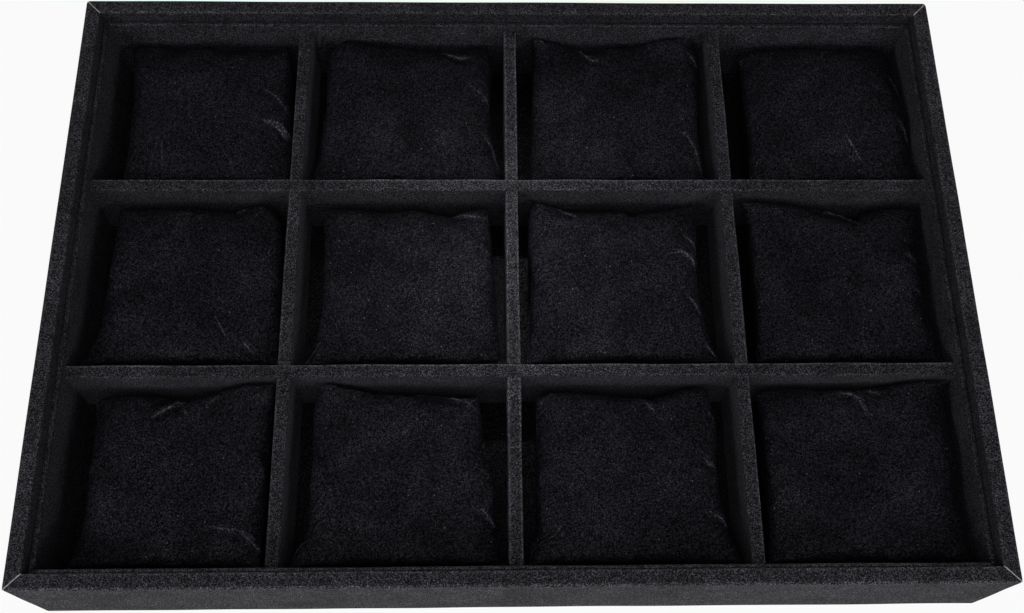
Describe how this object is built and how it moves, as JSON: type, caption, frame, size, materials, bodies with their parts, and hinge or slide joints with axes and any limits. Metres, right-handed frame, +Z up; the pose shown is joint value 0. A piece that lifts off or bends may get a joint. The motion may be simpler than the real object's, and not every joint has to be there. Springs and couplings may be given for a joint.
{
  "type": "jewelry display tray",
  "caption": "Low open tray wrapped in black velvet, with crossed dividers that make a grid of cells and a loose velvet pillow in each cell for bracelets and watches.",
  "frame": {"origin": "on the surface that the tray stands on, under the middle of its plan", "axes": "+X along the tray's width to the right, +Y to the back, +Z up"},
  "size_m": [0.35, 0.241, 0.046],
  "materials": {
    "wall_velvet": "black velvet",
    "liner_velvet": "black velvet",
    "divider_velvet": "black velvet",
    "pillow_velvet": "black velvet",
    "fibreboard": "raw fibreboard",
    "grey_card": "raw grey card",
    "felt_paper": "black felt paper",
    "wadding": "polyester wadding"
  },
  "bodies": {
    "tray": {"front_wall_board": "fibreboard", "front_wall_velvet": "wall_velvet", "front_liner_card": "grey_card", "front_liner_velvet": "liner_velvet", "right_wall_board": "fibreboard", "right_wall_velvet": "wall_velvet", "right_liner_card": "grey_card", "right_liner_velvet": "liner_velvet", "back_wall_board": "fibreboard", "back_wall_velvet": "wall_velvet", "back_liner_card": "grey_card", "back_liner_velvet": "liner_velvet", "left_wall_board": "fibreboard", "left_wall_velvet": "wall_velvet", "left_liner_card": "grey_card", "left_liner_velvet": "liner_velvet", "base_board": "fibreboard", "underside_cover": "felt_paper", "floor_card": "grey_card", "floor_lining": "liner_velvet", "front_long_divider_core": "fibreboard", "front_long_divider_velvet": "divider_velvet", "back_long_divider_core": "fibreboard", "back_long_divider_velvet": "divider_velvet", "left_cross_divider_core": "fibreboard", "left_cross_divider_velvet": "divider_velvet", "centre_cross_divider_core": "fibreboard", "centre_cross_divider_velvet": "divider_velvet", "right_cross_divider_core": "fibreboard", "right_cross_divider_velvet": "divider_velvet"},
    "front_pillow_1": {"front_pillow_1_cover": "pillow_velvet", "front_pillow_1_filling": "wadding"},
    "front_pillow_2": {"front_pillow_2_cover": "pillow_velvet", "front_pillow_2_filling": "wadding"},
    "front_pillow_3": {"front_pillow_3_cover": "pillow_velvet", "front_pillow_3_filling": "wadding"},
    "front_pillow_4": {"front_pillow_4_cover": "pillow_velvet", "front_pillow_4_filling": "wadding"},
    "middle_pillow_1": {"middle_pillow_1_cover": "pillow_velvet", "middle_pillow_1_filling": "wadding"},
    "middle_pillow_2": {"middle_pillow_2_cover": "pillow_velvet", "middle_pillow_2_filling": "wadding"},
    "middle_pillow_3": {"middle_pillow_3_cover": "pillow_velvet", "middle_pillow_3_filling": "wadding"},
    "middle_pillow_4": {"middle_pillow_4_cover": "pillow_velvet", "middle_pillow_4_filling": "wadding"},
    "back_pillow_1": {"back_pillow_1_cover": "pillow_velvet", "back_pillow_1_filling": "wadding"},
    "back_pillow_2": {"back_pillow_2_cover": "pillow_velvet", "back_pillow_2_filling": "wadding"},
    "back_pillow_3": {"back_pillow_3_cover": "pillow_velvet", "back_pillow_3_filling": "wadding"},
    "back_pillow_4": {"back_pillow_4_cover": "pillow_velvet", "back_pillow_4_filling": "wadding"}
  },
  "joints": [
    {"name": "front_pillow_1_lift", "type": "slide", "parent": "tray", "child": "front_pillow_1", "axis": [0, 0, 1], "range_m": [0, 0.06]},
    {"name": "front_pillow_2_lift", "type": "slide", "parent": "tray", "child": "front_pillow_2", "axis": [0, 0, 1], "range_m": [0, 0.06]},
    {"name": "front_pillow_3_lift", "type": "slide", "parent": "tray", "child": "front_pillow_3", "axis": [0, 0, 1], "range_m": [0, 0.06]},
    {"name": "front_pillow_4_lift", "type": "slide", "parent": "tray", "child": "front_pillow_4", "axis": [0, 0, 1], "range_m": [0, 0.06]},
    {"name": "middle_pillow_1_lift", "type": "slide", "parent": "tray", "child": "middle_pillow_1", "axis": [0, 0, 1], "range_m": [0, 0.06]},
    {"name": "middle_pillow_2_lift", "type": "slide", "parent": "tray", "child": "middle_pillow_2", "axis": [0, 0, 1], "range_m": [0, 0.06]},
    {"name": "middle_pillow_3_lift", "type": "slide", "parent": "tray", "child": "middle_pillow_3", "axis": [0, 0, 1], "range_m": [0, 0.06]},
    {"name": "middle_pillow_4_lift", "type": "slide", "parent": "tray", "child": "middle_pillow_4", "axis": [0, 0, 1], "range_m": [0, 0.06]},
    {"name": "back_pillow_1_lift", "type": "slide", "parent": "tray", "child": "back_pillow_1", "axis": [0, 0, 1], "range_m": [0, 0.06]},
    {"name": "back_pillow_2_lift", "type": "slide", "parent": "tray", "child": "back_pillow_2", "axis": [0, 0, 1], "range_m": [0, 0.06]},
    {"name": "back_pillow_3_lift", "type": "slide", "parent": "tray", "child": "back_pillow_3", "axis": [0, 0, 1], "range_m": [0, 0.06]},
    {"name": "back_pillow_4_lift", "type": "slide", "parent": "tray", "child": "back_pillow_4", "axis": [0, 0, 1], "range_m": [0, 0.06]}
  ]
}
